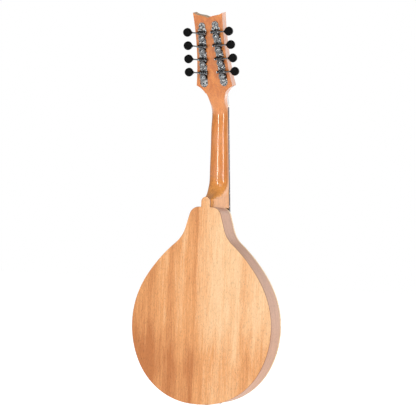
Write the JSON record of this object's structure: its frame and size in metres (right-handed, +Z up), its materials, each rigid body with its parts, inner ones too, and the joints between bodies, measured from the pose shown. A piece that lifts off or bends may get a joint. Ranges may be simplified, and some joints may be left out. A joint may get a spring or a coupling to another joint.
{
  "type": "flat-backed eight-string mandolin",
  "caption": "Flat-backed teardrop mandolin with arched top, oval sound hole, slotless notched headstock, open-gear tuners, floating bridge and slide-on tailpiece cover.",
  "frame": {"origin": "centreline of the back plate's outer face, at the height where the body is widest", "axes": "+Z up the neck towards the headstock, +Y out of the back, -Y towards the strings, -X the bass side"},
  "size_m": [0.2566, 0.1107, 0.6673],
  "materials": {
    "back_wood": "open-pored satin mahogany",
    "side_wood": "satin mahogany",
    "top_wood": "satin spruce",
    "neck_wood": "satin mahogany with a soft gloss",
    "inner_wood": "bare softwood",
    "fretboard_wood": "oiled dark rosewood",
    "bridge_wood": "oiled dark rosewood",
    "rosette_wood": "inlaid dark and light rings",
    "nut_bone": "polished bone",
    "marker_pearl": "pearl dots",
    "cover_plastic": "black",
    "fret_metal": "polished nickel silver",
    "tuner_metal": "nickel plate",
    "gear_metal": "nickel plate, darker",
    "button_black": "black, satin",
    "screw_metal": "nickel plate",
    "string_steel": "steel",
    "tailpiece_metal": "nickel plate",
    "bridge_metal": "brass",
    "rod_steel": "bare steel"
  },
  "bodies": {
    "root": {"back_plate": "back_wood", "top_plate": "top_wood", "side_bass": "side_wood", "side_treble": "side_wood", "linings": "inner_wood", "neck_block": "inner_wood", "tail_block": "inner_wood", "braces": "inner_wood", "neck": "neck_wood", "truss_rod": "rod_steel", "truss_rod_cover": "cover_plastic", "fretboard": "fretboard_wood", "frets": "fret_metal", "fret_markers": "marker_pearl", "rosette": "rosette_wood", "nut": "nut_bone", "tuner_plate_bass": "tuner_metal", "tuner_plate_treble": "tuner_metal", "post_bushings": "tuner_metal", "wood_screws": "screw_metal", "bridge_base": "bridge_wood", "bridge_studs": "bridge_metal", "tailpiece_base": "tailpiece_metal", "strings": "string_steel"},
    "tuner_bass_1": {"button_bass_1": "button_black", "worm_bass_1": "gear_metal"},
    "string_post_bass_1": {"gear_bass_1": "gear_metal", "post_bass_1": "tuner_metal"},
    "tuner_bass_2": {"button_bass_2": "button_black", "worm_bass_2": "gear_metal"},
    "string_post_bass_2": {"gear_bass_2": "gear_metal", "post_bass_2": "tuner_metal"},
    "tuner_bass_3": {"button_bass_3": "button_black", "worm_bass_3": "gear_metal"},
    "string_post_bass_3": {"gear_bass_3": "gear_metal", "post_bass_3": "tuner_metal"},
    "tuner_bass_4": {"button_bass_4": "button_black", "worm_bass_4": "gear_metal"},
    "string_post_bass_4": {"gear_bass_4": "gear_metal", "post_bass_4": "tuner_metal"},
    "tuner_treble_4": {"button_treble_4": "button_black", "worm_treble_4": "gear_metal"},
    "string_post_treble_4": {"gear_treble_4": "gear_metal", "post_treble_4": "tuner_metal"},
    "tuner_treble_3": {"button_treble_3": "button_black", "worm_treble_3": "gear_metal"},
    "string_post_treble_3": {"gear_treble_3": "gear_metal", "post_treble_3": "tuner_metal"},
    "tuner_treble_2": {"button_treble_2": "button_black", "worm_treble_2": "gear_metal"},
    "string_post_treble_2": {"gear_treble_2": "gear_metal", "post_treble_2": "tuner_metal"},
    "tuner_treble_1": {"button_treble_1": "button_black", "worm_treble_1": "gear_metal"},
    "string_post_treble_1": {"gear_treble_1": "gear_metal", "post_treble_1": "tuner_metal"},
    "bridge_saddle": {"bridge_saddle": "bridge_wood"},
    "thumbwheel_bass": {"thumbwheel_bass": "bridge_metal"},
    "thumbwheel_treble": {"thumbwheel_treble": "bridge_metal"},
    "tailpiece_cover": {"tailpiece_cover": "tailpiece_metal"}
  },
  "joints": [
    {"name": "turn_bass_1", "type": "hinge", "parent": "root", "child": "tuner_bass_1", "pos_m": [-0.01719, -0.0038, 0.43063], "axis": [-0.998, 0.0214, 0.059], "continuous": true},
    {"name": "wind_bass_1", "type": "hinge", "parent": "root", "child": "string_post_bass_1", "pos_m": [-0.01769, -0.00652, 0.42312], "axis": [0, 0.9403, -0.3404], "continuous": true},
    {"name": "turn_bass_2", "type": "hinge", "parent": "root", "child": "tuner_bass_2", "pos_m": [-0.01573, 0.00411, 0.4525], "axis": [-0.998, 0.0214, 0.059], "continuous": true},
    {"name": "wind_bass_2", "type": "hinge", "parent": "root", "child": "string_post_bass_2", "pos_m": [-0.01623, 0.0014, 0.44499], "axis": [0, 0.9403, -0.3404], "continuous": true},
    {"name": "turn_bass_3", "type": "hinge", "parent": "root", "child": "tuner_bass_3", "pos_m": [-0.01427, 0.01203, 0.47436], "axis": [-0.998, 0.0214, 0.059], "continuous": true},
    {"name": "wind_bass_3", "type": "hinge", "parent": "root", "child": "string_post_bass_3", "pos_m": [-0.01477, 0.00931, 0.46686], "axis": [0, 0.9403, -0.3404], "continuous": true},
    {"name": "turn_bass_4", "type": "hinge", "parent": "root", "child": "tuner_bass_4", "pos_m": [-0.0128, 0.01994, 0.49623], "axis": [-0.998, 0.0214, 0.059], "continuous": true},
    {"name": "wind_bass_4", "type": "hinge", "parent": "root", "child": "string_post_bass_4", "pos_m": [-0.01331, 0.01723, 0.48872], "axis": [0, 0.9403, -0.3404], "continuous": true},
    {"name": "turn_treble_4", "type": "hinge", "parent": "root", "child": "tuner_treble_4", "pos_m": [0.0128, 0.01906, 0.49378], "axis": [0.998, 0.0214, 0.059], "continuous": true},
    {"name": "wind_treble_4", "type": "hinge", "parent": "root", "child": "string_post_treble_4", "pos_m": [0.01331, 0.01634, 0.48628], "axis": [0, 0.9403, -0.3404], "continuous": true},
    {"name": "turn_treble_3", "type": "hinge", "parent": "root", "child": "tuner_treble_3", "pos_m": [0.01427, 0.01114, 0.47192], "axis": [0.998, 0.0214, 0.059], "continuous": true},
    {"name": "wind_treble_3", "type": "hinge", "parent": "root", "child": "string_post_treble_3", "pos_m": [0.01477, 0.00843, 0.46441], "axis": [0, 0.9403, -0.3404], "continuous": true},
    {"name": "turn_treble_2", "type": "hinge", "parent": "root", "child": "tuner_treble_2", "pos_m": [0.01573, 0.00323, 0.45005], "axis": [0.998, 0.0214, 0.059], "continuous": true},
    {"name": "wind_treble_2", "type": "hinge", "parent": "root", "child": "string_post_treble_2", "pos_m": [0.01623, 0.00051, 0.44255], "axis": [0, 0.9403, -0.3404], "continuous": true},
    {"name": "turn_treble_1", "type": "hinge", "parent": "root", "child": "tuner_treble_1", "pos_m": [0.01719, -0.00469, 0.42819], "axis": [0.998, 0.0214, 0.059], "continuous": true},
    {"name": "wind_treble_1", "type": "hinge", "parent": "root", "child": "string_post_treble_1", "pos_m": [0.01769, -0.0074, 0.42068], "axis": [0, 0.9403, -0.3404], "continuous": true},
    {"name": "saddle_height", "type": "slide", "parent": "root", "child": "bridge_saddle", "axis": [0, -1, 0], "range_m": [-0.0015, 0]},
    {"name": "thumbwheel_bass_turn", "type": "hinge", "parent": "bridge_saddle", "child": "thumbwheel_bass", "pos_m": [-0.031, -0.07241, 0.025], "axis": [0, -1, 0], "range_deg": [-771.53, 0]},
    {"name": "thumbwheel_treble_turn", "type": "hinge", "parent": "bridge_saddle", "child": "thumbwheel_treble", "pos_m": [0.031, -0.07241, 0.025], "axis": [0, -1, 0], "range_deg": [-771.53, 0]},
    {"name": "tailpiece_cover_slide", "type": "slide", "parent": "root", "child": "tailpiece_cover", "axis": [0, 0, -1], "range_m": [0, 0.065]}
  ],
  "couplings": [
    {"joint": "wind_bass_1", "follows": "turn_bass_1", "ratio": 0.071429},
    {"joint": "wind_bass_2", "follows": "turn_bass_2", "ratio": 0.071429},
    {"joint": "wind_bass_3", "follows": "turn_bass_3", "ratio": 0.071429},
    {"joint": "wind_bass_4", "follows": "turn_bass_4", "ratio": 0.071429},
    {"joint": "wind_treble_4", "follows": "turn_treble_4", "ratio": -0.071429},
    {"joint": "wind_treble_3", "follows": "turn_treble_3", "ratio": -0.071429},
    {"joint": "wind_treble_2", "follows": "turn_treble_2", "ratio": -0.071429},
    {"joint": "wind_treble_1", "follows": "turn_treble_1", "ratio": -0.071429},
    {"joint": "thumbwheel_bass_turn", "follows": "saddle_height", "rad_per_m": 8976},
    {"joint": "thumbwheel_treble_turn", "follows": "saddle_height", "rad_per_m": 8976}
  ]
}
